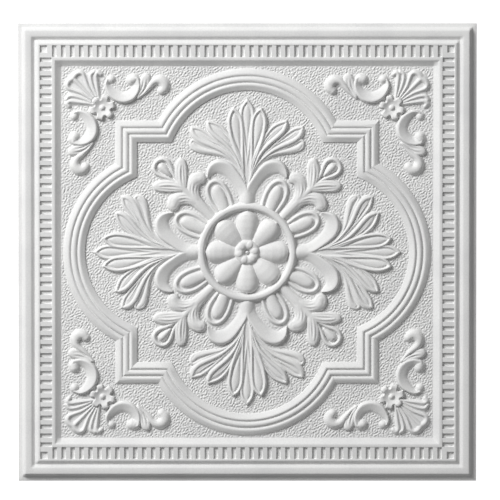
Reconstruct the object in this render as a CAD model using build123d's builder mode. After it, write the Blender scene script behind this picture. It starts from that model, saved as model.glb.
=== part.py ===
# Moulded foam ceiling tile: a square sheet with a dentil border, a quatrefoil moulding, a rosette
# with four palmettes and four sprigs round it, and a scroll ornament in each corner.
# It lies face up: the glue face is on z = 0, and the origin is at the centre of that face.
import os
from math import atan, ceil, cos, degrees, radians, sin, sqrt

from build123d import *

# Sheet, heights measured from the glue face
tile_side = 500.0
lip_height = 2.6
ground_height = 4.0
frame_height = 8.7

# Border, widths measured in turn from the tile's edge towards its centre
lip_width = 4.0
step_run = 4.0
frame_flat = 6.8
groove_width = 6.9
groove_depth = 2.0
outer_rail = 2.5
dentil_length = 12.8
inner_rail = 3.5
panel_slope_run = 6.6

# Dentil pockets between the two rails
dentils_per_side = 44
dentil_width = 5.0
dentil_depth = 2.5
dentil_corner_gap = 0.4
corner_pocket = 8.2

# Quatrefoil moulding: three beads on a sloped base
moulding_gap = 1.1
moulding_foot = 12.7
moulding_shoulder = 7.2
moulding_height = 4.9
bead_pitch = 6.8
bead_groove_depth = 2.0
bead_groove_width = 3.2
lobe_radius = 100.0
corner_bay = 70.5

# Rosette: ring, petals and the small flower in the middle
ring_radius = 50.0
ring_half_width = 4.2
ring_rise = 5.6
petal_count = 8
petal_gap = 1.2
petal_half_width = 12.6
petal_end = 9.6
petal_neck = 8.5
petal_rise = 6.8
petal_crown_draft = 50.0
hub_radius = 13.4
hub_half_wall = 4.4
hub_rise = 6.2
hub_floor = 3.3
hub_ball = 2.4
hub_ball_sides = 8

# Ornament that grows out of the ring or lies in a corner
relief_sink = 1.0
relief_draft = 20.0
flat_turn = 34.0
palmette_gap = 8.0
egg_reach = 38.0
egg_turn = 26.7
egg_rise = 2.2
egg_dome_rise = 3.7
sprig_gap = 26.0
drop_rise = 2.6
seed_rise = 4.6
corner_leg = 112.0
flower_inset = 45.2
flower_petals = 6
flower_radius = 13.2
flower_notch = 9.4
flower_rise = 3.8
flower_bowl = 5.6
flower_bowl_depth = 2.2

# Worked out from the sizes above
step_half = tile_side / 2 - lip_width
frame_half = step_half - step_run
groove_outer = frame_half - frame_flat
groove_inner = groove_outer - groove_width
pocket_outer = groove_inner - outer_rail
pocket_inner = pocket_outer - dentil_length
panel_mouth = pocket_inner - inner_rail
panel_half = panel_mouth - panel_slope_run
panel_depth = frame_height - ground_height
last_dentil = pocket_inner - dentil_corner_gap - dentil_width / 2
lobe_reach = panel_half - moulding_gap - moulding_foot
lobe_centre = lobe_reach - lobe_radius
straight_half = panel_half - corner_bay
straight_end = sqrt(lobe_radius**2 - (straight_half - lobe_centre) ** 2)
palmette_length = lobe_reach - moulding_foot - palmette_gap - ring_radius
sprig_length = (straight_half - moulding_foot) * sqrt(2) - sprig_gap - ring_radius
foot_level = ground_height - relief_sink


# The taper that moves a wall inwards by run while it climbs by rise
def taper(run, rise):
    return degrees(atan(run / rise))


# A closed outline of arcs, anticlockwise: corner, point on the arc to the next corner, and so on.
# Each arc is drawn in a few flats, because the ornament has hundreds of them.
def outline(points):
    flats = []
    for start, middle, end in zip(points[::2], points[1::2], points[2::2] + points[:1]):
        arc = ThreePointArc(start, middle, end, mode=Mode.PRIVATE)
        count = ceil(degrees(arc.length / arc.radius) / flat_turn)
        flats += arc.positions([step / count for step in range(count)])
    Polyline(*flats, close=True)


# Relief that rises from below the ground; hollow is the outline of a pit in it
def raised(points, rise, draft=relief_draft, hollow=None):
    with BuildPart() as relief:
        with BuildSketch(Plane.XY.offset(foot_level)):
            with BuildLine():
                outline(points)
            make_face()
        extrude(amount=relief_sink + rise, taper=draft)
        if hollow:
            with BuildSketch(Plane.XY.offset(ground_height)):
                with BuildLine():
                    outline(hollow)
                make_face()
            extrude(amount=relief_sink + rise, mode=Mode.SUBTRACT)
    return relief.part


# A drawing in hundredths of a length, from the ring outwards, turned clockwise from +Y
def from_ring(points, length, turn):
    along = Vector(sin(radians(turn)), cos(radians(turn)))
    across = Vector(along.Y, -along.X)
    unit = length / 100
    return [across * (x * unit) + along * (ring_radius + y * unit) for x, y in points]


def on_palmette(points):
    return from_ring(points, palmette_length, 0)


def on_egg(points):
    return from_ring(points, egg_reach, egg_turn)


def on_sprig(points):
    return from_ring(points, sprig_length, 45)


# A corner drawing in hundredths of the ornament's leg, from the panel's corner inwards
def on_corner(points):
    unit = corner_leg / 100
    return [(panel_half - x * unit, panel_half - y * unit) for x, y in points]


# Sheet with its lip, stepped frame and sunk panel
with BuildPart() as sheet:
    with BuildSketch():
        Rectangle(tile_side, tile_side)
    extrude(amount=lip_height)
    with BuildSketch(Plane.XY.offset(lip_height)):
        Rectangle(2 * step_half, 2 * step_half)
    extrude(amount=frame_height - lip_height, taper=taper(step_run, frame_height - lip_height))
    with BuildSketch(Plane.XY.offset(frame_height)):
        Rectangle(2 * panel_mouth, 2 * panel_mouth)
    extrude(amount=-panel_depth, taper=taper(panel_slope_run, panel_depth), mode=Mode.SUBTRACT)

# Groove of V section that runs round the frame
groove_taper = taper(groove_width / 2, groove_depth)
with BuildPart() as groove:
    with BuildSketch(Plane.XY.offset(frame_height)):
        Rectangle(2 * groove_outer, 2 * groove_outer)
    extrude(amount=-groove_depth, taper=groove_taper)
    with BuildSketch(Plane.XY.offset(frame_height - groove_depth)):
        Rectangle(groove_outer + groove_inner, groove_outer + groove_inner)
    extrude(amount=groove_depth, taper=groove_taper, mode=Mode.SUBTRACT)

# Dentil pockets along the four sides and a square pocket in each corner
pocket_middle = (pocket_outer + pocket_inner) / 2
corner_middle = pocket_outer - corner_pocket / 2
dentil_pitch = 2 * last_dentil / (dentils_per_side - 1)
with BuildPart() as pockets:
    with BuildSketch(Plane.XY.offset(frame_height)):
        with GridLocations(dentil_pitch, 2 * pocket_middle, dentils_per_side, 2):
            Rectangle(dentil_width, dentil_length)
        with GridLocations(2 * pocket_middle, dentil_pitch, 2, dentils_per_side):
            Rectangle(dentil_length, dentil_width)
        with GridLocations(2 * corner_middle, 2 * corner_middle, 2, 2):
            Rectangle(corner_pocket, corner_pocket)
    extrude(amount=-dentil_depth)

# Centre line of the quatrefoil: four round lobes joined by four square corners
with BuildSketch() as quatrefoil:
    with BuildLine():
        for turn in range(4):
            lobe_start, lobe_top, lobe_end, bay_corner, bay_end = (
                Vector(x, y).rotate(Axis.Z, -90 * turn)
                for x, y in (
                    (-straight_end, straight_half),
                    (0, lobe_reach),
                    (straight_end, straight_half),
                    (straight_half, straight_half),
                    (straight_half, straight_end),
                )
            )
            ThreePointArc(lobe_start, lobe_top, lobe_end)
            Polyline(lobe_end, bay_corner, bay_end)
    make_face()


# A band that follows the quatrefoil between two distances from its centre line
def quatrefoil_band(level, inside, outside):
    with BuildSketch(Plane.XY.offset(level)) as band:
        offset(quatrefoil.sketch, amount=outside, kind=Kind.INTERSECTION)
        offset(quatrefoil.sketch, amount=inside, kind=Kind.INTERSECTION, mode=Mode.SUBTRACT)
    return band.sketch


# Moulding: sloped base with two grooves that part it into three beads
moulding_slope = (moulding_foot - moulding_shoulder) / moulding_height
base_foot = moulding_foot + relief_sink * moulding_slope
groove_half = bead_groove_width / 2
with BuildPart() as moulding:
    extrude(
        quatrefoil_band(foot_level, -base_foot, base_foot),
        amount=relief_sink + moulding_height,
        taper=degrees(atan(moulding_slope)),
    )
    for middle in (-bead_pitch / 2, bead_pitch / 2):
        extrude(
            quatrefoil_band(ground_height + moulding_height, middle - groove_half, middle + groove_half),
            amount=-bead_groove_depth,
            taper=taper(groove_half / 2, bead_groove_depth),
            mode=Mode.SUBTRACT,
        )

# Petals of the rosette: drops that lie along the radius, with two drafts that round their crown
petal_tip = ring_radius - ring_half_width - petal_gap
petal_belly = petal_tip - petal_end
petal_middle = (hub_radius + petal_belly) / 2
petal_outline = [
    (hub_radius, 0),
    (petal_middle, -petal_neck),
    (petal_belly, -petal_half_width),
    (petal_tip, 0),
    (petal_belly, petal_half_width),
    (petal_middle, petal_neck),
]
with BuildPart() as petal:
    add(raised(petal_outline, petal_rise / 2))
    extrude(petal.faces().sort_by(Axis.Z)[-1], amount=petal_rise / 2, taper=petal_crown_draft)

# Ring of the rosette, and the small flower in its middle with a ball in its bowl
hub_middle = hub_radius - hub_half_wall
with BuildPart() as rosette:
    with BuildSketch(Plane.XZ):
        for radius, half, rise in (
            (ring_radius, ring_half_width, ring_rise),
            (hub_middle, hub_half_wall, hub_rise),
        ):
            with BuildLine():
                Polyline(
                    (radius - half, foot_level),
                    (radius + half, foot_level),
                    (radius + half / 2, ground_height + rise),
                    (radius - half / 2, ground_height + rise),
                    close=True,
                )
            make_face()
    revolve(axis=Axis.Z)
    with BuildSketch(Plane.XY.offset(foot_level)):
        Circle(hub_middle)
    extrude(amount=relief_sink + hub_floor)
    with BuildSketch(Plane.XY.offset(ground_height)):
        RegularPolygon(hub_ball, hub_ball_sides)
    extrude(amount=hub_floor + hub_ball / 2, taper=relief_draft)

# Palmette: stem and middle lobe on its axis; beside it four lobes and a curled leaf, which are mirrored
palmette_axis = [
    raised(on_palmette(points), rise)
    for rise, points in (
        (3.2, ((0, 35), (4.6, 62), (6.7, 86), (4.4, 94.5), (0, 100), (-4.4, 94.5), (-6.7, 86), (-4.6, 62))),
        (3.8, ((-7.2, -2), (0, -3), (7.2, -2), (5.9, 10), (0, 34), (-5.9, 10))),
    )
]
palmette_lobes = [
    raised(on_palmette(points), rise)
    for rise, points in (
        (4.4, ((2.5, 32), (13.5, 58), (18.5, 79), (16.7, 86.5), (12.6, 91.2), (3.4, 72))),
        (4.1, ((4.2, 32), (22, 54.5), (36, 70), (38, 74.8), (36.7, 79.8), (15.5, 66))),
        (2.9, ((6.8, 32), (31.4, 51.5), (49, 62), (52.2, 68), (51.2, 74.5), (25, 58))),
        (2.3, ((12, 38), (31, 47), (47.5, 51), (51.8, 54.5), (52.8, 59.5), (30, 53.5))),
    )
]
curled_leaf = (
    ((1.7, 5), (4.2, 4), (6.8, 4), (9.3, 15.3), (14.8, 24.6))
    + ((26.3, 29.7), (36.9, 25), (32.6, 39.8), (16.9, 41.8), (6.8, 27))
)
with BuildPart() as palmette:
    add(palmette_lobes)
    add(raised(on_palmette(curled_leaf), 4.7, draft=0))
    mirror(about=Plane.YZ)
    add(palmette_axis)

# Eggs: a low rim with a dome in it, one on each side of every palmette
egg_outline = ((-30, -12), (0, -14), (30, -12), (33, 40), (20, 86), (0, 100), (-20, 86), (-33, 40))
egg_hollow = ((-20, -8), (0, -10), (20, -8), (23, 38), (13, 77), (0, 87), (-13, 77), (-23, 38))
egg_dome = ((-15, -6), (0, -8), (15, -6), (18, 38), (9.5, 72), (0, 81), (-9.5, 72), (-18, 38))
with BuildPart() as eggs:
    add(raised(on_egg(egg_outline), egg_rise, hollow=on_egg(egg_hollow)))
    add(raised(on_egg(egg_dome), egg_dome_rise))
    mirror(about=Plane.YZ)

# Sprig: stem, two pairs of curled leaves, and a drop with a seed in it at the end
diagonal = Plane(origin=(0, 0, 0), z_dir=(1, -1, 0))
sprig_stem = ((-9, 2.5), (0, -0.5), (9, 2.5), (6.1, 25), (0, 61.5), (-6.1, 25))
drop_outline = ((0, 58.5), (8.3, 74.3), (10.2, 91.3), (0, 100), (-10.2, 91.3), (-8.3, 74.3))
drop_hollow = ((0, 66), (6.6, 78), (6.4, 90), (0, 94.5), (-6.4, 90), (-6.6, 78))
drop_seed = ((0, 69), (5, 79.2), (4.6, 88.7), (0, 92), (-4.6, 88.7), (-5, 79.2))
lower_leaf = (
    ((0.8, 17), (6.1, 32.7), (14.4, 41), (19.7, 41.8), (25.3, 40.7))
    + ((27.1, 50.7), (18.2, 55.4), (8.7, 54.3), (1.5, 48), (-2.3, 32))
)
upper_leaf = ((0.5, 50), (14, 60.5), (23.8, 72.4), (22.9, 80), (14.7, 80), (3.5, 70.5))
with BuildPart() as sprig:
    add(raised(on_sprig(lower_leaf), 4.7, draft=0))
    add(raised(on_sprig(upper_leaf), 4.2))
    mirror(about=diagonal)
    add(raised(on_sprig(sprig_stem), 4.4))
    add(raised(on_sprig(drop_outline), drop_rise, hollow=on_sprig(drop_hollow)))
    add(raised(on_sprig(drop_seed), seed_rise))

# Star flower of a corner, with a bowl in it
flower_place = (panel_half - flower_inset, panel_half - flower_inset)
flower_step = 180 / flower_petals
with BuildPart() as flower:
    with BuildSketch(Plane.XY.offset(foot_level)):
        with BuildLine():
            Polyline(
                *(
                    Vector(*flower_place) + Vector(reach, 0).rotate(Axis.Z, 45 + flower_step * step)
                    for step, reach in enumerate((flower_radius, flower_notch) * flower_petals)
                ),
                close=True,
            )
        make_face()
    extrude(amount=relief_sink + flower_rise)
    with BuildSketch(Plane.XY.offset(ground_height + flower_rise)):
        with Locations(flower_place):
            RegularPolygon(flower_bowl, 2 * flower_petals)
    extrude(amount=-flower_bowl_depth, taper=taper(flower_bowl / 2, flower_bowl_depth), mode=Mode.SUBTRACT)

# Corner ornament: a shell and ribs towards the corner, and a branch each way with a scroll,
# a leaf and a hook
corner_shell = ((32.1, 32.1), (16.9, 28.5), (5.3, 21.3), (7.7, 7.7), (21.3, 5.3), (28.5, 16.9))
corner_rib = ((36.5, 30.3), (30.3, 20.4), (26.9, 9.3), (32.5, 3.2), (37.9, 8.8), (34.7, 17.8))
corner_scroll = (
    ((75.4, 14.2), (58.4, 36.1), (41.6, 16.4), (45.9, 9.5))
    + ((50.4, 16.9), (58.4, 27.6), (66.9, 16.4), (70, 6.8))
)
corner_leaf = ((73.5, 31), (76, 20.5), (78, 11.5), (82.9, 6.2), (87.6, 11.5), (82.9, 20.8))
corner_hook = (
    ((88.8, 20.9), (82.1, 27.1), (73.1, 31.2), (75.8, 25.4), (81.2, 19.6))
    + ((94.6, 8.6), (104.8, 18.7), (100.8, 26.3), (95.9, 24), (94.1, 17.8))
)
with BuildPart() as corner:
    for points, rise in ((corner_rib, 2.0), (corner_scroll, 4.2), (corner_leaf, 3.6), (corner_hook, 4.0)):
        add(raised(on_corner(points), rise, draft=0))
    mirror(about=diagonal)
    add(raised(on_corner(corner_shell), 2.5, draft=0))
    add(flower.part)

# The tile: every ornament is one piece with the sheet
with BuildPart() as ceiling_tile:
    add(sheet.part)
    add(moulding.part)
    with PolarLocations(0, petal_count):
        add(petal.part)
    with PolarLocations(0, 4):
        add(palmette.part)
        add(eggs.part)
        add(sprig.part)
        add(corner.part)
    add(rosette.part)
    add(groove.part, mode=Mode.SUBTRACT)
    add(pockets.part, mode=Mode.SUBTRACT)

ceiling_tile.part.label = "ceiling_tile"
os.makedirs("parts", exist_ok=True)
export_step(ceiling_tile.part, "parts/ceiling_tile.step")
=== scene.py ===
import math

import bpy
import numpy as np
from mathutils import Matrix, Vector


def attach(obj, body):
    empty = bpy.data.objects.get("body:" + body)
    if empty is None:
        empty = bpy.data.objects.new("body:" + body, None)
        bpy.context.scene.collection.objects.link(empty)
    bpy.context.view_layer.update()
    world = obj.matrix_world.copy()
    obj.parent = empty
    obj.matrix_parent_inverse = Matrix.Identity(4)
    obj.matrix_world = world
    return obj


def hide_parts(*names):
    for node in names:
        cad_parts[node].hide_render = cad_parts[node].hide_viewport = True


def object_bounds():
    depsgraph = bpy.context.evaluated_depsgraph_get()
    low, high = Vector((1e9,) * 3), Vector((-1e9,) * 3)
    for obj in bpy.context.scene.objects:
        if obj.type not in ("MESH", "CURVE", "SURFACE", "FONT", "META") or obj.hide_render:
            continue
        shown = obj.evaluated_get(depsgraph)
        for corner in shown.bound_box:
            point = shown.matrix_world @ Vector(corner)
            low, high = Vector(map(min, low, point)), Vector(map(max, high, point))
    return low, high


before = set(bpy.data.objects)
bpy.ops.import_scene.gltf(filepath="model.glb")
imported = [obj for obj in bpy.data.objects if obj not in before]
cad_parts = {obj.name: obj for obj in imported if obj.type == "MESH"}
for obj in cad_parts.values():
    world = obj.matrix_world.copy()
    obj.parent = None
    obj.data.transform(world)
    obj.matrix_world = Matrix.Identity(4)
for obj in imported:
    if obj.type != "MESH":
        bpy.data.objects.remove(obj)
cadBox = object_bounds()
mm = 0.001  # sizes below are in millimetres, from the centre of the tile's flat back
nodeName = "ceiling_tile"

sheet = {
    "half": cadBox[1].x / mm,  # the tile's edge
    "ground": 4.0,  # stippled ground of the panel above the flat back
    "panelHalf": 202.9,
    "cells": 290,  # squares of the relief along a quarter's side
}
print("frame loaded, side", round(2 * sheet["half"], 1), "mm")


# Curves and distances, on rows of x, y and whatever else goes with a point

def smoothCurve(points, closed=False, steps=7):
    p = np.array(points, float)
    if closed:
        behind, ahead, afterNext = [np.roll(p, shift, 0) for shift in (1, -1, -2)]
        spans = len(p)
    else:
        behind = np.vstack([2 * p[:1] - p[1:2], p[:-1]])
        ahead = np.vstack([p[1:], 2 * p[-1:] - p[-2:-1]])
        afterNext = np.vstack([ahead[1:], ahead[-1:]])
        spans = len(p) - 1
    t = np.linspace(0, 1, steps, endpoint=False)[:, None]
    rows = []
    for a, b, c, d in zip(behind[:spans], p[:spans], ahead[:spans], afterNext[:spans]):
        slope = (c - a) / 2
        square = a - 2.5 * b + 2 * c - d / 2
        cube = 1.5 * (b - c) + (d - a) / 2
        rows.append(b + slope * t + square * t**2 + cube * t**3)
    if not closed:
        rows.append(p[-1:])
    return np.vstack(rows)


# Distance from the path, place along it, and 1 on its left or -1 on its right
def nearest(path, x, y, closed=False):
    best = np.full(x.shape, 1e9)
    place = np.zeros(x.shape)
    side = np.ones(x.shape)
    ends = np.roll(path, -1, 0) if closed else path[1:]
    for k, (a, b) in enumerate(zip(path, ends)):
        dx, dy = b[0] - a[0], b[1] - a[1]
        t = np.clip(((x - a[0]) * dx + (y - a[1]) * dy) / max(dx * dx + dy * dy, 1e-9), 0, 1)
        gap = (x - a[0] - t * dx) ** 2 + (y - a[1] - t * dy) ** 2
        closer = gap < best
        best[closer] = gap[closer]
        place[closer] = k + t[closer]
        side[closer] = np.sign(dx * (y - a[1]) - dy * (x - a[0]))[closer]
    return np.sqrt(best), place, side


def insideDistance(path, x, y):  # positive inside the closed path
    inside = np.zeros(x.shape, bool)
    for a, b in zip(path, np.roll(path, -1, 0)):
        if a[1] != b[1]:
            crosses = (a[1] > y) != (b[1] > y)
            inside ^= crosses & (x < (b[0] - a[0]) * (y - a[1]) / (b[1] - a[1]) + a[0])
    return np.where(inside, 1, -1) * nearest(path, x, y, True)[0]


# Relief of one quarter of the panel: heights above the ground, and below it outside the ornament
carving = {
    "off": -2.0,  # stands where there is no ornament
    "margin": 4.0,  # looked at round a leaf or groove
    "stalkMargin": 3.0,
    "leanLow": 0.15,  # least share of its height on the low side of a stalk that leans
    "leanEase": 0.45,  # takes back what the lean adds to its crest
    "grooveFull": 1.5,  # relief this high takes the whole depth of a groove
    "grooveFade": 0.4,  # share of a groove over which it dies out at each end
}
pitch = sheet["panelHalf"] / sheet["cells"]
lines = np.arange(sheet["cells"] + 1) * pitch
quarterX, quarterY = np.meshgrid(lines, lines, indexing="ij")
relief = np.full(quarterX.shape, carving["off"])


def around(path, margin=carving["margin"]):
    low = np.clip(np.floor((path[:, :2].min(0) - margin) / pitch), 0, sheet["cells"]).astype(int)
    high = np.clip(np.ceil((path[:, :2].max(0) + margin) / pitch) + 1, 0, sheet["cells"] + 1).astype(int)
    return slice(low[0], high[0]), slice(low[1], high[1])


def layOn(area, rise):
    relief[area] = np.maximum(relief[area], rise)


# Rows of x, y, half width, height; flat is the power of its section, and lean raises its left side
def stalk(points, flat=2.0, lean=0.0):
    path = smoothCurve(points)
    area = around(path, path[:, 2].max() + carving["stalkMargin"])
    gap, place, side = nearest(path, quarterX[area], quarterY[area])
    halfWidth, height = [np.interp(place, np.arange(len(path)), column) for column in path.T[2:]]
    out = gap / halfWidth
    tilt = np.maximum(1 + lean * side * out, carving["leanLow"]) / (1 + carving["leanEase"] * abs(lean))
    layOn(area, height * (1 - out**flat) * tilt)


def leaf(outline, root, tip, section):  # root and tip are x, y, height
    path = smoothCurve(outline, True)
    area = around(path)
    x, y = quarterX[area], quarterY[area]
    along = np.array(tip[:2]) - np.array(root[:2])
    t = np.clip(((x - root[0]) * along[0] + (y - root[1]) * along[1]) / along.dot(along), 0, 1)
    height = root[2] + (tip[2] - root[2]) * t
    layOn(area, height * np.interp(insideDistance(path, x, y), *zip(*section)))


def groove(points, halfWidth, depth):  # cut into what is already raised
    path = smoothCurve(points)
    area = around(path)
    gap, place, side = nearest(path, quarterX[area], quarterY[area])
    raised = np.clip(relief[area] / carving["grooveFull"], 0, 1)
    fromEnd = np.minimum(place, len(path) - 1 - place)
    fade = np.clip(fromEnd / (carving["grooveFade"] * len(path)), 0, 1)
    relief[area] -= depth * raised * fade * np.exp(-((gap / halfWidth) ** 2))


# Sections of the leaves: distance from the edge, share of the leaf's height
rimmed = ((-1.2, -1.5), (0, 0), (0.35, 0.5), (0.9, 0.82), (1.7, 1), (2.4, 0.95), (3.1, 0.68), (3.7, 0.46),
          (4.3, 0.5), (5.2, 0.7), (6.6, 0.84), (9, 0.9))
rounded = ((-1.2, -1.2), (0, 0), (0.35, 0.42), (1, 0.7), (2, 0.88), (3.5, 0.97), (5, 1))
domed = ((-1.2, -1), (0, 0), (0.5, 0.42), (1.4, 0.68), (3, 0.88), (5, 0.98), (8, 1))
plump = 2.4  # a stalk's section a little fuller than a parabola

# Palmette on the quarter's edge: half of the fan, the stem and the curled leaf beside it
palmette = {
    "stem": ((0, 56.5, 8.4, 4.7), (0, 60, 8.6, 4.65), (0, 64.5, 8.2, 4.5)),
    "curl": ((3.1, 55.5, 5.1, 4.2), (3.3, 60, 5.3, 4.3), (3.6, 64.5, 5.8, 4.4), (5, 69.8, 6.3, 4.5),
             (7.9, 74.8, 6.4, 4.6), (12.1, 80.6, 6.7, 4.8), (17.4, 86.8, 7.5, 5), (22.7, 91.1, 8.2, 5),
             (28, 93, 8.4, 5), (33, 92.8, 7.9, 4.9), (37.2, 90.6, 6.5, 4.7), (40.3, 86.6, 4.3, 4.3),
             (42.6, 81.8, 1.4, 3.6)),
    "curlFlat": 6.0, "curlLean": 0.75,
    "fan": (  # outline, root, tip, and so for every leaf below
        ((-7, 75), (0, 68), (7, 80), (14, 91), (25, 103), (38, 111), (34, 121), (22, 122), (8, 128),
         (-6, 128)),
        (0, 72, 3.0), (20, 122, 1.6)),
    "lobes": (
        (((0, 92), (3.5, 110), (5.5, 128), (7.6, 143), (8.2, 152), (6, 160.5), (0, 168), (0, 168),
          (-6, 160.5), (-8.2, 152), (-7.6, 143), (-5.5, 128), (-3.5, 110)),
         (0, 92, 3.3), (0, 168, 3.0)),
        (((14, 97), (24, 107), (34, 112.5), (44, 117), (53, 121.5), (59, 124), (62.4, 121.6), (63, 117),
          (60.6, 112), (55, 109), (47, 107.2), (38, 106), (28, 104.4), (19, 100.3)),
         (14, 97, 2.6), (62, 118, 2.2)),
        (((9, 92), (17, 107), (26, 116), (34, 123.5), (43, 131), (51, 136), (61, 138.2), (61, 138.2),
          (62.8, 132), (60.4, 125), (54, 119.6), (46, 116), (36, 112.4), (26, 107.8), (16, 99.5)),
         (9, 92, 3.2), (61, 136, 2.5)),
        (((5, 88), (10.5, 108), (14.5, 120), (20, 130), (26.5, 137.5), (34, 142), (43.2, 144.6),
          (43.2, 144.6), (45, 138), (42, 131), (36, 124.2), (28, 118), (20, 111.4), (13.5, 103.4), (8, 93)),
         (5, 88, 4.0), (43, 144, 3.2)),
        (((2.2, 84), (3, 103), (3.2, 122), (3.6, 136), (5, 146), (9, 153.5), (15.2, 158.2), (15.2, 158.2),
          (20, 151), (22, 143), (20.8, 134), (17.5, 123), (13, 112), (8.5, 101), (4.4, 87)),
         (3, 86, 4.4), (15, 158, 3.7)),
    ),
    "bands": (  # the broad edge of each side lobe, which stands over the next one
        ((7, 85, 1, 3.2), (13, 95.5, 1.2, 3.1), (21, 103, 1.4, 3), (30, 107.3, 1.9, 3.1),
         (39, 109.4, 2.7, 3.1), (47.5, 111.2, 3.3, 3), (55, 113.6, 3.8, 2.8), (59, 117.4, 3.2, 2.5)),
        ((4.5, 81, 1, 3.8), (8, 90, 1.2, 3.9), (12.5, 97.2, 1.5, 4), (20, 104.8, 2, 4.1),
         (28.5, 111.2, 2.6, 4.2), (37.5, 115.8, 3, 4.2), (46, 119.4, 3.4, 4.1), (53, 123.2, 3.5, 3.8),
         (57.9, 128.2, 3.2, 3.4), (60, 134, 2.2, 2.9)),
        ((3.2, 79, 1, 4), (6, 88.5, 1.2, 4.3), (9.5, 97, 1.5, 4.6), (13, 105, 2, 4.7),
         (18.6, 112.8, 2.6, 4.8), (26, 120.2, 3, 4.8), (33.8, 126.7, 3.4, 4.7), (39.7, 132.8, 3.3, 4.4),
         (42.3, 139, 2.4, 3.9)),
        ((1.9, 76, 0.9, 4), (4.6, 88, 1.1, 4.3), (8, 100, 1.4, 4.5), (12.2, 111, 1.8, 4.6),
         (16.2, 122.5, 2.2, 4.6), (18.6, 133, 2.4, 4.5), (19.6, 142.5, 2.4, 4.3), (18.2, 150, 2, 4),
         (15.6, 156, 1.2, 3.8)),
    ),
    "bandFlat": 2.6,
    "ridges": (
        ((17, 117, 0.9, 3.3), (22.5, 125, 1, 3.4), (29, 131.2, 0.9, 3.3), (35.5, 135.8, 0.7, 2.9)),
        ((30, 116.6, 0.9, 2.9), (39, 121.6, 1, 3), (46.5, 126.2, 0.9, 2.8), (53, 131, 0.7, 2.4)),
    ),
}


def makePalmette():
    p = palmette
    leaf(*p["fan"], rounded)
    for lobe in p["lobes"]:
        leaf(*lobe, rimmed)
    for band in p["bands"]:
        stalk(band, p["bandFlat"])
    for ridge in p["ridges"]:
        stalk(ridge)
    stalk(p["curl"], p["curlFlat"], p["curlLean"])
    stalk(p["stem"])


# Egg in its rim, between palmette and sprig
egg = {
    "rim": ((16.2, 50, 2.4, 2.8), (17.9, 57, 2.4, 2.9), (21.2, 65.7, 2.4, 2.9), (25.7, 72.8, 2.5, 3),
            (30.6, 76.5, 2.5, 3), (35, 77.6, 2.5, 3), (39.2, 76.2, 2.5, 3), (42.1, 72.7, 2.5, 3),
            (43.2, 68.3, 2.4, 3), (42.6, 62.8, 2.4, 2.9), (40.6, 57, 2.4, 2.9), (37.2, 51.4, 2.4, 2.8),
            (32.2, 44.8, 2.4, 2.8)),
    "bed": ((20, 50, 0.5), (38, 78, 0.5)),  # root and tip of the floor between rim and egg
    "dome": (
        ((19.9, 47), (22.6, 60), (25.8, 66.8), (30.2, 71.9), (34.2, 72.9), (37.7, 70.6), (38.9, 65.8),
         (37.6, 60), (34.6, 54), (28.6, 43)),
        (25, 48, 4.2), (35, 73, 4.2)),
}


def makeEgg():
    leaf([row[:2] for row in egg["rim"]], *egg["bed"], rounded)
    stalk(egg["rim"], plump)
    leaf(*egg["dome"], domed)


# Sprig along the diagonal: half of it, with two leaves and the drop at its end
sprig = {
    "stem": ((35, 35, 5.2, 3.5), (46, 46, 6, 3.9), (54, 54, 6.2, 4.3), (61, 61, 5.2, 4.1), (66, 66, 5, 4.3),
             (71, 71, 5.4, 4.6)),
    "lower": (
        ((40, 46), (49.5, 59), (51.8, 64), (52.2, 69.5), (50.6, 73.6), (47, 75.4), (44.8, 79), (45.6, 83.6),
         (49.4, 86.9), (55, 87.2), (60.6, 84.4), (64.3, 79), (65.8, 73), (65, 66), (60, 58), (50, 48)),
        (45, 52, 3.4), (52, 82, 4.2)),
    "lowerCrest": ((55, 57, 5, 4.2), (59.2, 65, 6.6, 4.6), (59.8, 72.4, 7, 4.8), (57, 78.4, 7.6, 4.9),
                   (51.4, 80.6, 6.6, 4.8)),
    "upper": (
        ((66, 66), (65.2, 76), (65.4, 85.3), (65.5, 94), (67.2, 99.6), (70.2, 102.4), (73.4, 103),
         (76.4, 100.4), (78.6, 94.5), (79.3, 87), (78.6, 80.5), (75.6, 74.4), (71, 67)),
        (73, 76, 4.6), (72, 102, 3.4)),
    "upperCrest": ((70.6, 70, 5, 4.6), (73.4, 78, 5.6, 4.9), (74, 87, 5.4, 4.8), (72.6, 95, 4.8, 4.2)),
    "striae": (
        ((53.2, 61), (54.6, 68), (52.6, 76)),
        ((56, 60), (58, 68), (56.4, 77)),
        ((58.8, 60), (61.4, 68), (60.4, 77)),
        ((67.6, 70), (68, 80), (68.6, 90), (69.4, 99)),
        ((69.4, 70), (71, 80), (71.6, 90), (71.6, 99)),
        ((72, 70.5), (74.6, 79), (75.2, 88), (74.2, 97)),
    ),
    "striaHalf": 0.9, "striaDepth": 1.0,
    "loop": ((76, 77, 1.7, 3), (79, 82.4, 2, 3.2), (81.5, 88.2, 2.4, 3.4), (83.6, 94.2, 2.5, 3.5),
             (86.9, 99.3, 2.6, 3.5), (91.6, 101.6, 2.6, 3.5), (96, 100.7, 2.6, 3.5),
             (98.8, 98.8, 2.6, 3.5)),
    "seed": ((84, 84, 1.8, 3.2), (87.4, 87.4, 4, 4.2), (91.4, 91.4, 5.4, 4.6), (93.2, 93.2, 5.1, 4.5)),
}


def makeSprig():
    s = sprig
    leaf(*s["lower"], rounded)
    stalk(s["lowerCrest"], plump)
    leaf(*s["upper"], rounded)
    stalk(s["upperCrest"])
    stalk(s["stem"], plump)
    for line in s["striae"]:
        groove(line, s["striaHalf"], s["striaDepth"])
    stalk(s["loop"], plump)
    stalk(s["seed"])


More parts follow.
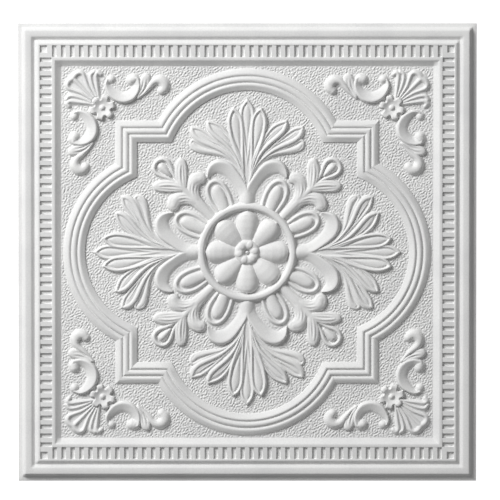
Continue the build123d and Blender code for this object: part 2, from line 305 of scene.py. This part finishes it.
# Star flower on the diagonal: a dish with a wavy edge and a ball in it
flower = {
    "at": 157.8, "points": 6, "reach": 11.7, "wave": 2.4, "height": 4.4, "ball": 4.0, "ballHeight": 4.0,
    "sharp": 2.4, "full": 0.35,  # how steep the notches are, and how wide the petals
    # distance from the edge or from the middle, share of the height
    "edge": ((-1.2, -1.2), (0, 0), (0.4, 0.55), (1.2, 0.92), (2, 1)),
    "dish": ((4, 0.4), (6, 0.55), (10, 1)),
}


def makeFlower():
    f = flower
    area = around(np.array([(f["at"], f["at"])]), f["reach"] + f["wave"] + carving["stalkMargin"])
    x, y = quarterX[area] - f["at"], quarterY[area] - f["at"]
    gap = np.hypot(x, y)
    petal = np.tanh(f["sharp"] * (np.cos(f["points"] * (np.arctan2(y, x) - math.pi / 4)) + f["full"]))
    inside = f["reach"] + f["wave"] * petal - gap
    dish = np.interp(inside, *zip(*f["edge"])) * np.interp(gap, *zip(*f["dish"]))
    relief[area] = np.where(inside > 0, f["height"] * dish, relief[area])
    layOn(area, f["ballHeight"] * (1 - (gap / f["ball"]) ** plump))


# Corner: half of the shell and its ribs, and the branch with a scroll, a blade and a hook
corner = {
    "shell": (
        ((160, 164), (161, 180), (162, 193), (170, 196.5), (176, 195), (181, 198.8), (186.6, 198.4),
         (191, 195.6), (195, 190), (185, 170), (164, 160)),
        (165, 165, 1.3), (185, 190, 1.0)),
    "ribs": (
        ((161.6, 167.5, 1.8, 2.6), (163.2, 178.5, 2.3, 3), (164.3, 187, 2.7, 3.2), (164.8, 192.8, 3.2, 3.3),
         (162.8, 195.9, 3.4, 3.3), (159.6, 194.2, 2.8, 2.9)),
        ((164, 170.5, 1.7, 2.6), (168.2, 181, 2.1, 3), (170.4, 189, 2.4, 3.2), (170.2, 194.2, 2.7, 3.1),
         (166.8, 196.8, 2.7, 2.9)),
        ((166.8, 170, 1.5, 2.6), (173.4, 180.6, 2.1, 3.1), (176.6, 189, 2.5, 3.3), (178.9, 194.2, 2.8, 3.5),
         (182.7, 196, 3.3, 3.6), (187, 194, 3.8, 3.7), (189.8, 189.8, 4.3, 3.8)),
        ((168, 168, 1.5, 2.6), (177, 177, 2.4, 2.9), (183.6, 183.6, 3, 3.1), (188.2, 188.2, 3.4, 3.5)),
    ),
    "hook": ((119, 168.5, 1.6, 2.8), (112.3, 174.6, 2.6, 3.3), (107.2, 180, 3.6, 3.8),
             (103.6, 184.6, 4.1, 4.2), (99.4, 187.4, 5, 4.5), (94.4, 187.4, 6.2, 4.7),
             (90.6, 184, 6.8, 4.7), (90.4, 179.6, 6.2, 4.5), (93, 176.4, 5.2, 4)),
    "blade": (
        ((120, 168), (113.5, 174), (108.4, 181), (105.2, 188), (105.6, 193), (109.4, 195.4), (113.6, 194),
         (116.6, 189), (117.6, 182), (119.2, 174.4)),
        (119, 169, 4.2), (108, 195, 3.8)),
    "bladeGrooves": (
        ((108.8, 190), (109.8, 183), (113.2, 175.5), (117.6, 169.4)),
        ((112.8, 190), (113.4, 183), (115.6, 176.5), (119, 171)),
    ),
    "grooveHalf": 1.0, "grooveDepth": 1.7,
    "scroll": ((121.4, 187.5, 4.8, 4.3), (120.2, 182, 4.3, 4.4), (122.8, 175.2, 5.4, 4.6),
               (128.4, 170.2, 6.4, 4.7), (136, 168.6, 6.4, 4.7), (143.4, 171.2, 6.2, 4.6),
               (149.2, 176.6, 4.7, 4.4), (152.4, 182.5, 2.9, 4), (151.6, 187.5, 2.2, 3.2)),
    "scrollFlat": 5.0, "scrollLean": -0.7,  # hollow: its outer rim is the high side
    "balls": (
        ((123.6, 189, 6.2, 4.5), (126, 188.4, 6.2, 4.5)),
        ((148.2, 188.6, 4.9, 3.4), (148.8, 188.6, 4.9, 3.4)),
    ),
}


def makeCorner():
    c = corner
    leaf(*c["shell"], rounded)
    for rib in c["ribs"]:
        stalk(rib)
    stalk(c["hook"], plump)
    leaf(*c["blade"], rounded)
    for line in c["bladeGrooves"]:
        groove(line, c["grooveHalf"], c["grooveDepth"])
    stalk(c["scroll"], c["scrollFlat"], c["scrollLean"])
    for ball in c["balls"]:
        stalk(ball)


makePalmette()
makeEgg()
makeSprig()
makeCorner()
makeFlower()
relief = np.maximum(relief, relief.T)  # the ornament mirrors about the diagonal
print("relief drawn, highest", round(float(relief.max()), 2), "mm")


def hexColour(text):
    parts = [int(text[k:k + 2], 16) / 255 for k in (1, 3, 5)]
    return [v / 12.92 if v <= 0.04045 else ((v + 0.055) / 1.055) ** 2.4 for v in parts] + [1]


def addNode(tree, kind, settings=None, links=None):
    node = tree.nodes.new(kind)
    for key, value in (settings or {}).items():
        if key in node.inputs:
            node.inputs[key].default_value = value
        else:
            setattr(node, key, value)
    for key, source in (links or {}).items():
        tree.links.new(source, node.inputs[key])
    return node


# Expanded polystyrene, moulded: a white matt skin that scatters light evenly, and close by the outlines
# of the fused beads just show, a shade darker
foam = {
    "light": "#dededd", "dark": "#d2d2d2", "darkAt": 0.15, "lightAt": 0.55,
    "roughness": 0.72, "ior": 1.49,
    "beadSize": 3.2, "seamWidth": 0.12, "seamShade": 0.55,  # beads in mm, their seams as a share of a bead
    "cloudSize": 45.0, "cloudDetail": 2.0,  # slow change of tone over the sheet
    "skinSize": 0.9,  # the real grain is finer, and is drawn this coarse to show
    "skinDetail": 3.0, "skinRoughness": 0.6, "skinDepth": 0.25, "skinStrength": 0.12,
}


def makeFoam():
    f = foam
    material = bpy.data.materials.new("moulded_expanded_polystyrene")
    material.use_nodes = True
    tree = material.node_tree
    tree.nodes.clear()
    spot = addNode(tree, "ShaderNodeTexCoord").outputs["Object"]
    beads = addNode(tree, "ShaderNodeTexVoronoi",
                    {"feature": "DISTANCE_TO_EDGE", "Scale": 1 / (f["beadSize"] * mm)}, {"Vector": spot})
    skin = addNode(tree, "ShaderNodeTexNoise",
                   {"Scale": 1 / (f["skinSize"] * mm), "Detail": f["skinDetail"],
                    "Roughness": f["skinRoughness"]}, {"Vector": spot})
    cloud = addNode(tree, "ShaderNodeTexNoise",
                    {"Scale": 1 / (f["cloudSize"] * mm), "Detail": f["cloudDetail"]}, {"Vector": spot})
    seams = addNode(tree, "ShaderNodeMapRange",
                    {"From Max": f["seamWidth"], "To Min": f["seamShade"], "To Max": 1.0},
                    {"Value": beads.outputs["Distance"]})
    shade = addNode(tree, "ShaderNodeMath", {"operation": "MULTIPLY"},
                    {0: seams.outputs["Result"], 1: cloud.outputs["Fac"]})
    colour = addNode(tree, "ShaderNodeValToRGB", None, {"Fac": shade.outputs["Value"]})
    for stop, at, tone in zip(colour.color_ramp.elements, ("darkAt", "lightAt"), ("dark", "light")):
        stop.position = f[at]
        stop.color = hexColour(f[tone])
    bump = addNode(tree, "ShaderNodeBump", {"Strength": f["skinStrength"], "Distance": f["skinDepth"] * mm},
                   {"Height": skin.outputs["Fac"]})
    shader = addNode(tree, "ShaderNodeBsdfPrincipled", {"Roughness": f["roughness"], "IOR": f["ior"]},
                     {"Base Color": colour.outputs["Color"], "Normal": bump.outputs["Normal"]})
    addNode(tree, "ShaderNodeOutputMaterial", None, {"Surface": shader.outputs["BSDF"]})
    return material


foamMaterial = makeFoam()
print("foam made")

# Texture map, seen from above; walls and back are drawn small in a strip beside the face
textureMap = {"facingUp": 0.02, "face": 0.9, "edge": 0.01, "strip": 0.06, "stripAt": 0.93}


def layMap(mesh):
    m = textureMap
    spots = np.empty(3 * len(mesh.vertices))
    mesh.vertices.foreach_get("co", spots)
    spots = spots.reshape(-1, 3)
    corners = np.empty(len(mesh.loops), int)
    mesh.loops.foreach_get("vertex_index", corners)
    sizes = np.empty(len(mesh.polygons), int)
    mesh.polygons.foreach_get("loop_total", sizes)
    facing = np.empty(3 * len(mesh.polygons))
    mesh.polygons.foreach_get("normal", facing)
    up = np.repeat(facing.reshape(-1, 3)[:, 2] > m["facingUp"], sizes)
    low, high = spots.min(0), spots.max(0)
    share = ((spots - low) / (high - low))[corners]
    onFace = share[:, :2] * m["face"] + m["edge"]
    inStrip = share[:, [2, 1]] * (m["strip"], m["face"]) + (m["stripAt"], m["edge"])
    uv = np.where(up[:, None], onFace, inStrip)
    mesh.uv_layers.new(name="OFBake").data.foreach_set("uv", uv.ravel())


def makePiece(name, points, faces, normals=None, sharpAngle=None):
    mesh = bpy.data.meshes.new(name)
    mesh.from_pydata((np.asarray(points) * mm).tolist(), [], faces)
    mesh.update()
    mesh.shade_smooth()
    if normals is not None:
        mesh.normals_split_custom_set_from_vertices(normals.tolist())
    if sharpAngle:
        mesh.set_sharp_from_angle(angle=math.radians(sharpAngle))
    layMap(mesh)
    mesh.materials.append(foamMaterial)
    piece = bpy.data.objects.new(name, mesh)
    bpy.context.collection.objects.link(piece)
    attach(piece, "root")
    return piece


# Faces between the points of a grid, and of a wall from a ring of points down to its foot

def gridFaces(rows, columns, wrap=False):
    i, j = np.meshgrid(np.arange(rows - 1), np.arange(columns if wrap else columns - 1), indexing="ij")
    after = (j + 1) % columns
    here, below = i * columns, (i + 1) * columns
    return np.stack([here + j, below + j, below + after, here + after], -1).reshape(-1, 4).tolist()


def wallFaces(ring, foot):
    return np.stack([ring, foot, np.roll(foot, -1), np.roll(ring, -1)], -1).tolist()


def squareRing(ids, low, high):  # anticlockwise along a square of the grid
    sides = ids[low:high, low], ids[high, low:high], ids[high:low:-1, high], ids[low, high:low:-1]
    return np.concatenate(sides)


# Ground of the panel: pebbled stipple between the ornament, which is part of the same surface
stipple = {
    "seed": 11, "grain": 2.6, "height": 0.56,
    "tone": 0.85, "spread": 0.48,  # middle and width of the band of waves, in waves for each grain
    "soften": 0.8,
    "start": 0.15, "fade": 0.8,  # below the ornament's edge, in the relief's own heights
    "edgeFade": 1.5,
}
panel = {
    "slide": 0.45,  # share of a square that its corners may slide, to lie on the ornament's outline
    "flattest": 1e-6,  # least slope, squared, so that level ground has one to divide by
    "quarters": (  # name, and whether it is the right and the back one
        ("panel_back_right", 1, 1), ("panel_back_left", 0, 1),
        ("panel_front_left", 0, 0), ("panel_front_right", 1, 0)),
}


def makeStipple(count):
    noise = np.random.default_rng(stipple["seed"]).standard_normal((count, count))
    waves = np.fft.fftfreq(count, pitch)
    size = np.hypot(*np.meshgrid(waves, waves, indexing="ij")) * stipple["grain"]
    band = np.exp(-((size - stipple["tone"]) / stipple["spread"]) ** 2)
    pebbles = np.real(np.fft.ifft2(np.fft.fft2(noise) * band))
    pebbles /= pebbles.std()
    return np.tanh(pebbles * stipple["soften"]) * stipple["height"]


def panelSurface():  # points of the whole panel and the directions that they face
    n = sheet["cells"]
    steps = np.arange(-n, n + 1)
    height = relief[np.ix_(np.abs(steps), np.abs(steps))]
    x, y = np.meshgrid(steps * pitch, steps * pitch, indexing="ij")
    slopeX, slopeY = np.gradient(height, pitch)
    steep = slopeX**2 + slopeY**2 + panel["flattest"]
    near = np.abs(height) / np.sqrt(steep) < panel["slide"] * pitch
    inner = np.maximum(np.abs(x), np.abs(y)) < sheet["panelHalf"] - pitch
    shift = np.where(near & inner, -height / steep, 0)
    x, y = x + shift * slopeX, y + shift * slopeY
    edge = sheet["panelHalf"] - np.maximum(np.abs(x), np.abs(y))
    fade = np.clip((-height - stipple["start"]) / stipple["fade"], 0, 1)
    fade = fade * np.clip(edge / stipple["edgeFade"], 0, 1)
    top = np.where(near, 0, np.maximum(height, 0)) + makeStipple(2 * n + 1) * fade
    points = np.stack([x, y, top + sheet["ground"]], -1)
    facing = np.cross(np.gradient(points, axis=0), np.gradient(points, axis=1))
    return points, facing / np.linalg.norm(facing, axis=-1, keepdims=True)


def makePanel():
    points, facing = panelSurface()
    side = sheet["cells"] + 1
    ids = np.arange(side * side).reshape(side, side)
    ring = squareRing(ids, 0, side - 1)
    foot = np.arange(len(ring)) + side * side
    faces = gridFaces(side, side) + wallFaces(ring, foot) + [foot[::-1].tolist()]
    for name, right, back in panel["quarters"]:
        i, j = right * sheet["cells"], back * sheet["cells"]
        top = points[i:i + side, j:j + side].reshape(-1, 3)
        upward = facing[i:i + side, j:j + side].reshape(-1, 3)
        normals = np.vstack([upward, np.tile((0, 0, -1), (len(ring), 1))])
        piece = makePiece(name, np.vstack([top, top[ring] * (1, 1, 0)]), faces, normals)
        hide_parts(nodeName)
    print("panel made")


makePanel()

# Quatrefoil moulding: three beads, drawn along its centre line with mitred corners
moulding = {
    "radius": 100.0, "centre": 89.0, "straight": 132.3, "arcSteps": 96, "baySteps": 7, "sectionSteps": 3,
    "sharpAngle": 33.0,
    "section": (  # out from the centre line, above the ground: a steep foot on both sides
        (-12.7, -0.9), (-12.55, 0.4), (-12.3, 1.2), (-11.6, 1.75), (-10.5, 2.35), (-9.4, 2.95),
        (-8.3, 3.55), (-7.3, 4.05), (-6.4, 4.25), (-5.5, 4.05), (-4.6, 3.2), (-3.9, 2.6), (-3.2, 3.1),
        (-2.2, 3.95), (-1.2, 4.35), (-0.2, 4.45), (0.8, 4.2), (1.7, 3.6), (2.4, 2.9), (3, 2.35),
        (3.7, 2.75), (4.6, 3.5), (5.6, 3.75), (6.6, 3.6), (7.6, 3.2), (8.6, 2.7), (9.6, 2.15),
        (10.5, 1.5), (11.2, 0.8), (11.7, 0), (11.95, -0.9)),
}


def quatrefoilLine():  # a lobe and the square bay after it, four times round, clockwise
    m = moulding
    bay = m["straight"] - m["centre"]
    end = math.sqrt(m["radius"] ** 2 - bay**2)
    half = math.atan2(end, bay)
    shares = np.linspace(0, 1, m["baySteps"] + 1)
    part = []
    for turn in np.linspace(-half, half, m["arcSteps"] + 1):
        part.append((m["radius"] * math.sin(turn), m["centre"] + m["radius"] * math.cos(turn)))
    for share in shares[1:]:
        part.append((end + (m["straight"] - end) * share, m["straight"]))
    for share in shares[1:-1]:
        part.append((m["straight"], m["straight"] - (m["straight"] - end) * share))
    sides = []
    for angle in np.radians([0, 90, 180, 270]):
        c, s = math.cos(angle), math.sin(angle)
        sides.append(np.array(part) @ np.array([[c, -s], [s, c]]))
    return np.vstack(sides)


def makeMoulding():
    line = quatrefoilLine()
    ahead = np.roll(line, -1, 0) - line
    ahead /= np.linalg.norm(ahead, axis=1, keepdims=True)
    back = np.roll(ahead, 1, 0)
    out = np.stack([-ahead[:, 1], ahead[:, 0]], 1) + np.stack([-back[:, 1], back[:, 0]], 1)
    out *= 2 / (out**2).sum(1, keepdims=True)  # mitre: longer where the line turns
    rows = []
    for offset, rise in smoothCurve(moulding["section"], steps=moulding["sectionSteps"]):
        rows.append(np.column_stack([line + out * offset, np.full(len(line), sheet["ground"] + rise)]))
    first = np.arange(len(line))
    last = first + (len(rows) - 1) * len(line)
    faces = gridFaces(len(rows), len(line), wrap=True) + wallFaces(last, first)
    faces = [face[::-1] for face in faces]
    makePiece("quatrefoil_moulding", np.vstack(rows), faces, sharpAngle=moulding["sharpAngle"])
    print("moulding made")


makeMoulding()

# Rosette: ring, eight petals that all but touch, and a small flower with a ball in the middle
rosette = {
    "reach": 55.0, "turns": 600, "rings": 118,
    "eye": 0.05,  # radius of the flat face in the very middle
    "foot": -0.9, "base": -1.5,  # how far the relief and its flat underside go below the ground
    "ring": 50.0, "ringHalf": 4.8, "ringHeight": 5.6, "ringFlat": 3.0,
    "petals": 8, "petalTip": 45.2, "petalWide": 33.0, "petalHalf": 12.7, "petalHeight": 6.7,
    "petalTaper": 1.15, "petalEnd": 2.4, "petalFlat": 2.6,
    "thinnest": 0.01,  # keeps the petals' width above nothing at both ends
    "petalCrown": (  # distance from the middle, share of the height
        (10, 0.3), (14, 0.5), (20, 0.78), (28, 0.97), (36, 1), (41, 0.9), (45.2, 0.55)),
    "webReach": 27.0, "webHeight": 1.2,  # no ground shows where the petals meet
    "hubLobes": 6, "hubTurn": 10.0, "hubAt": 8.6, "hubHalf": 6.3, "hubHeight": 6.6, "hubSaddle": 5.5,
    "hubFlat": 3.0,
    "pit": 2.5, "pitFloor": 2.4, "pitRise": 4.2, "pitCurve": 1.1, "ball": 2.5, "ballHeight": 4.9,
}


def rosetteHeight(r, turn):
    s = rosette
    height = s["ringHeight"] * (1 - np.abs((r - s["ring"]) / s["ringHalf"]) ** s["ringFlat"])
    step = 2 * math.pi / s["petals"]
    local = (turn + step / 2) % step - step / 2
    u, v = r * np.cos(local), np.abs(r * np.sin(local))
    along = np.clip(u / s["petalWide"], 0, 1)
    beyond = np.clip((u - s["petalWide"]) / (s["petalTip"] - s["petalWide"]), 0, 1)
    taper = np.sin(along * math.pi / 2) ** s["petalTaper"]
    width = s["petalHalf"] * taper * np.sqrt(1 - beyond ** s["petalEnd"]) + s["thinnest"]
    crown = s["petalHeight"] * np.interp(r, *zip(*s["petalCrown"]))
    petal = crown * (1 - (v / width) ** s["petalFlat"])
    height = np.maximum(height, np.where(beyond < 1, petal, s["foot"]))
    height = np.maximum(height, np.where(r < s["webReach"], s["webHeight"], s["foot"]))
    lobe = 2 * math.pi / s["hubLobes"]
    bend = (turn - math.radians(s["hubTurn"]) + lobe / 2) % lobe - lobe / 2
    bump = np.hypot(r * np.cos(bend) - s["hubAt"], r * np.sin(bend)) / s["hubHalf"]
    wall = np.abs(r - s["hubAt"]) / s["hubHalf"]
    lobes = s["hubHeight"] * (1 - bump ** s["hubFlat"])
    hub = np.maximum(lobes, s["hubSaddle"] * (1 - wall ** s["hubFlat"]))
    pit = s["pitFloor"] + s["pitRise"] * np.maximum(r / s["pit"] - 1, 0) ** s["pitCurve"]
    height = np.where(r < s["hubAt"], np.minimum(hub, pit), np.maximum(height, hub))
    height = np.maximum(height, s["ballHeight"] * (1 - (r / s["ball"]) ** plump))
    return np.maximum(height, s["foot"])


def makeRosette():
    s = rosette
    rows, columns = s["rings"], s["turns"]
    turns = np.arange(columns) * 2 * math.pi / columns
    r, turn = np.meshgrid(np.linspace(s["eye"], s["reach"], rows), turns, indexing="ij")
    top = np.stack([r * np.cos(turn), r * np.sin(turn), rosetteHeight(r, turn) + sheet["ground"]], -1)
    under = top[-1] * (1, 1, 0) + (0, 0, sheet["ground"] + s["base"])
    first = np.arange(columns)
    foot = first + rows * columns
    faces = gridFaces(rows, columns, wrap=True) + [first.tolist(), foot[::-1].tolist()]
    faces += wallFaces(first + (rows - 1) * columns, foot)
    makePiece("rosette", np.vstack([top.reshape(-1, 3), under]), faces)
    print("rosette made")


makeRosette()

# Border: lip, stepped frame, V groove, rails with dentil pockets between them, slope to the panel
border = {
    "profile": (  # distance from the centre, height above the back
        (sheet["panelHalf"], sheet["ground"]), (203.4, 4.25), (208.6, 8.1), (209.2, 8.6), (209.9, 8.85),
        (211.2, 8.9), (212.4, 8.85), (213.0, 8.75), (225.8, 8.75), (226.4, 8.85), (227.6, 8.8),
        (228.3, 8.55), (228.9, 8.1), (231.2, 6.35), (231.75, 6.15), (232.3, 6.35), (234.6, 8.1),
        (235.3, 8.5), (236.2, 8.7), (240.9, 8.7), (241.8, 8.6), (242.5, 8.3), (245.0, 3.1), (245.4, 2.75),
        (245.9, 2.62), (249.2, 2.6), (249.75, 2.45), (sheet["half"], 2.1)),
    "pockets": 44, "pitch": 9.77, "pocketHalf": 2.55, "inner": 212.9, "outer": 225.9,
    "depth": 2.4, "wall": 0.55,
    "cornerInner": 217.8,  # the square pocket in the corner starts here
    "sharpAngle": 60.0,
    "finest": 0.02,  # grid lines closer than this are one
}


def pocketShape(value, low, high):  # 0 on the rail, 1 on the pocket's floor
    return np.clip(np.minimum(value - low, high - value) / border["wall"], 0, 1)


def borderLines():  # a line at every bend of the profile and every edge of a pocket
    b = border
    marks = [0.0]
    for k in range(b["pockets"] // 2):
        middle = (k + 0.5) * b["pitch"]
        for half in (b["pocketHalf"], b["pocketHalf"] - b["wall"]):
            marks += [middle - half, middle + half]
    for edge in (b["inner"], b["cornerInner"]):
        marks += [edge, edge + b["wall"]]
    marks += [b["outer"] - b["wall"], b["outer"]]
    marks += [reach for reach, rise in b["profile"]]
    half = np.unique(np.round(marks, 3))
    half = half[np.insert(np.diff(half) > b["finest"], 0, True)]
    return np.concatenate([-half[:0:-1], half])


def borderHeight(far, close):  # by the larger and the smaller distance from the centre lines
    b = border
    phase = (close / b["pitch"]) % 1 * b["pitch"] - b["pitch"] / 2
    row = pocketShape(far, b["inner"], b["outer"]) * pocketShape(phase, -b["pocketHalf"], b["pocketHalf"])
    row = np.where(close < b["pockets"] / 2 * b["pitch"], row, 0)
    inCorner = b["cornerInner"], b["outer"]
    square = pocketShape(far, *inCorner) * pocketShape(close, *inCorner)
    return np.interp(far, *zip(*b["profile"])) - b["depth"] * np.maximum(row, square)


def makeBorder():
    full = borderLines()
    x, y = np.meshgrid(full, full, indexing="ij")
    far = np.maximum(np.abs(x), np.abs(y))
    z = borderHeight(far, np.minimum(np.abs(x), np.abs(y)))
    keep = far > sheet["panelHalf"] - border["finest"]
    ids = np.full(x.shape, -1)
    ids[keep] = np.arange(keep.sum())
    points = np.stack([x[keep], y[keep], z[keep]], -1)
    corners = np.stack([ids[:-1, :-1], ids[1:, :-1], ids[1:, 1:], ids[:-1, 1:]], -1)
    middle = np.maximum(np.abs(x[:-1, :-1] + x[1:, 1:]), np.abs(y[:-1, :-1] + y[1:, 1:])) / 2
    faces = corners[(corners >= 0).all(-1) & (middle > sheet["panelHalf"])].tolist()
    # walls down to the back, outside and inside, and the back in four strips
    last = len(full) - 1
    inside = int(np.argmin(np.abs(full + sheet["panelHalf"])))
    outerRing, innerRing = squareRing(ids, 0, last), squareRing(ids, inside, last - inside)
    outerFoot = np.arange(len(outerRing)) + len(points)
    innerFoot = np.arange(len(innerRing)) + len(points) + len(outerRing)
    faces += wallFaces(outerRing, outerFoot)
    faces += [face[::-1] for face in wallFaces(innerRing, innerFoot)]
    for k in range(4):
        strip = []
        for foot in (outerFoot, innerFoot):
            count = len(foot) // 4
            strip.append(np.take(foot, np.arange(k * count, (k + 1) * count + 1), mode="wrap").tolist())
        faces.append(strip[0][::-1] + strip[1])
    under = points[np.concatenate([outerRing, innerRing])] * (1, 1, 0)
    piece = makePiece("border", np.vstack([points, under]), faces, sharpAngle=border["sharpAngle"])
    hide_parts(nodeName)
    print("border made")


makeBorder()

# White table that glows, so that the tile stands clear of it with no shadow
table = {
    "colour": "#f4f4f4", "glow": 0.85, "roughness": 0.9, "specular": 0.1,
    "half": 60.0,  # in metres
    "drop": 0.2,  # below the tile's back
}


def makeTable():
    t = table
    mesh = bpy.data.meshes.new("floor")
    corners = [(i * t["half"], j * t["half"], 0) for i, j in ((-1, -1), (1, -1), (1, 1), (-1, 1))]
    mesh.from_pydata(corners, [], [(0, 1, 2, 3)])
    floor = bpy.data.objects.new("floor", mesh)
    floor.location.z = -t["drop"] * mm
    floor.visible_diffuse = False  # its white doesn't light the tile's edges
    bpy.context.collection.objects.link(floor)
    material = bpy.data.materials.new("white_light_table")
    material.use_nodes = True
    sockets = material.node_tree.nodes["Principled BSDF"].inputs
    sockets["Base Color"].default_value = hexColour(t["colour"])
    sockets["Roughness"].default_value = t["roughness"]
    sockets["Specular IOR Level"].default_value = t["specular"]
    sockets["Emission Color"].default_value = hexColour("#ffffff")
    sockets["Emission Strength"].default_value = t["glow"]
    mesh.materials.append(material)


makeTable()

# Soft key from the upper left, low enough to draw the relief, and an even white room
studio = {
    "power": 140.0, "turn": 135.0, "lift": 34.0, "sky": 0.25,
    "size": 1.4, "gap": 3.4,  # in metres
}


def makeLight():
    s = studio
    turn, lift = math.radians(s["turn"]), math.radians(s["lift"])
    light = bpy.data.lights.new("key", "AREA")
    light.energy = s["power"]
    light.size = s["size"]
    key = bpy.data.objects.new("key", light)
    direction = np.array([math.cos(turn) * math.cos(lift), math.sin(turn) * math.cos(lift), math.sin(lift)])
    key.location = direction * s["gap"]
    key.rotation_euler = (math.pi / 2 - lift, 0, turn + math.pi / 2)
    bpy.context.collection.objects.link(key)
    world = bpy.data.worlds.new("soft_room")
    world.use_nodes = True
    background = world.node_tree.nodes["Background"].inputs
    background["Color"].default_value = hexColour("#ffffff")
    background["Strength"].default_value = s["sky"]
    bpy.context.scene.world = world
    bpy.context.scene.view_settings.view_transform = "Standard"


makeLight()

# Camera: far off with a long lens, so the tile stays square, and a little from its top side
view = {
    "lens": 600.0, "sensor": 36.0, "picture": 500, "pxPerMm": 0.9164,
    "offsetX": 3.09, "offsetY": 2.2, "lean": 3.0,
    "farthest": 150.0,  # in metres
}


def makeCamera():
    v = view
    camera = bpy.data.cameras.new("camera")
    camera.lens = v["lens"]
    camera.sensor_width = v["sensor"]
    camera.clip_end = v["farthest"]
    eye = bpy.data.objects.new("camera", camera)
    gap = v["picture"] / v["pxPerMm"] * mm * v["lens"] / v["sensor"]
    lean = math.radians(v["lean"])
    eye.location = (v["offsetX"] * mm, v["offsetY"] * mm + gap * math.sin(lean), gap * math.cos(lean))
    eye.rotation_euler = (-lean, 0, 0)
    bpy.context.collection.objects.link(eye)
    bpy.context.scene.camera = eye


makeCamera()
print("table, light and camera set")
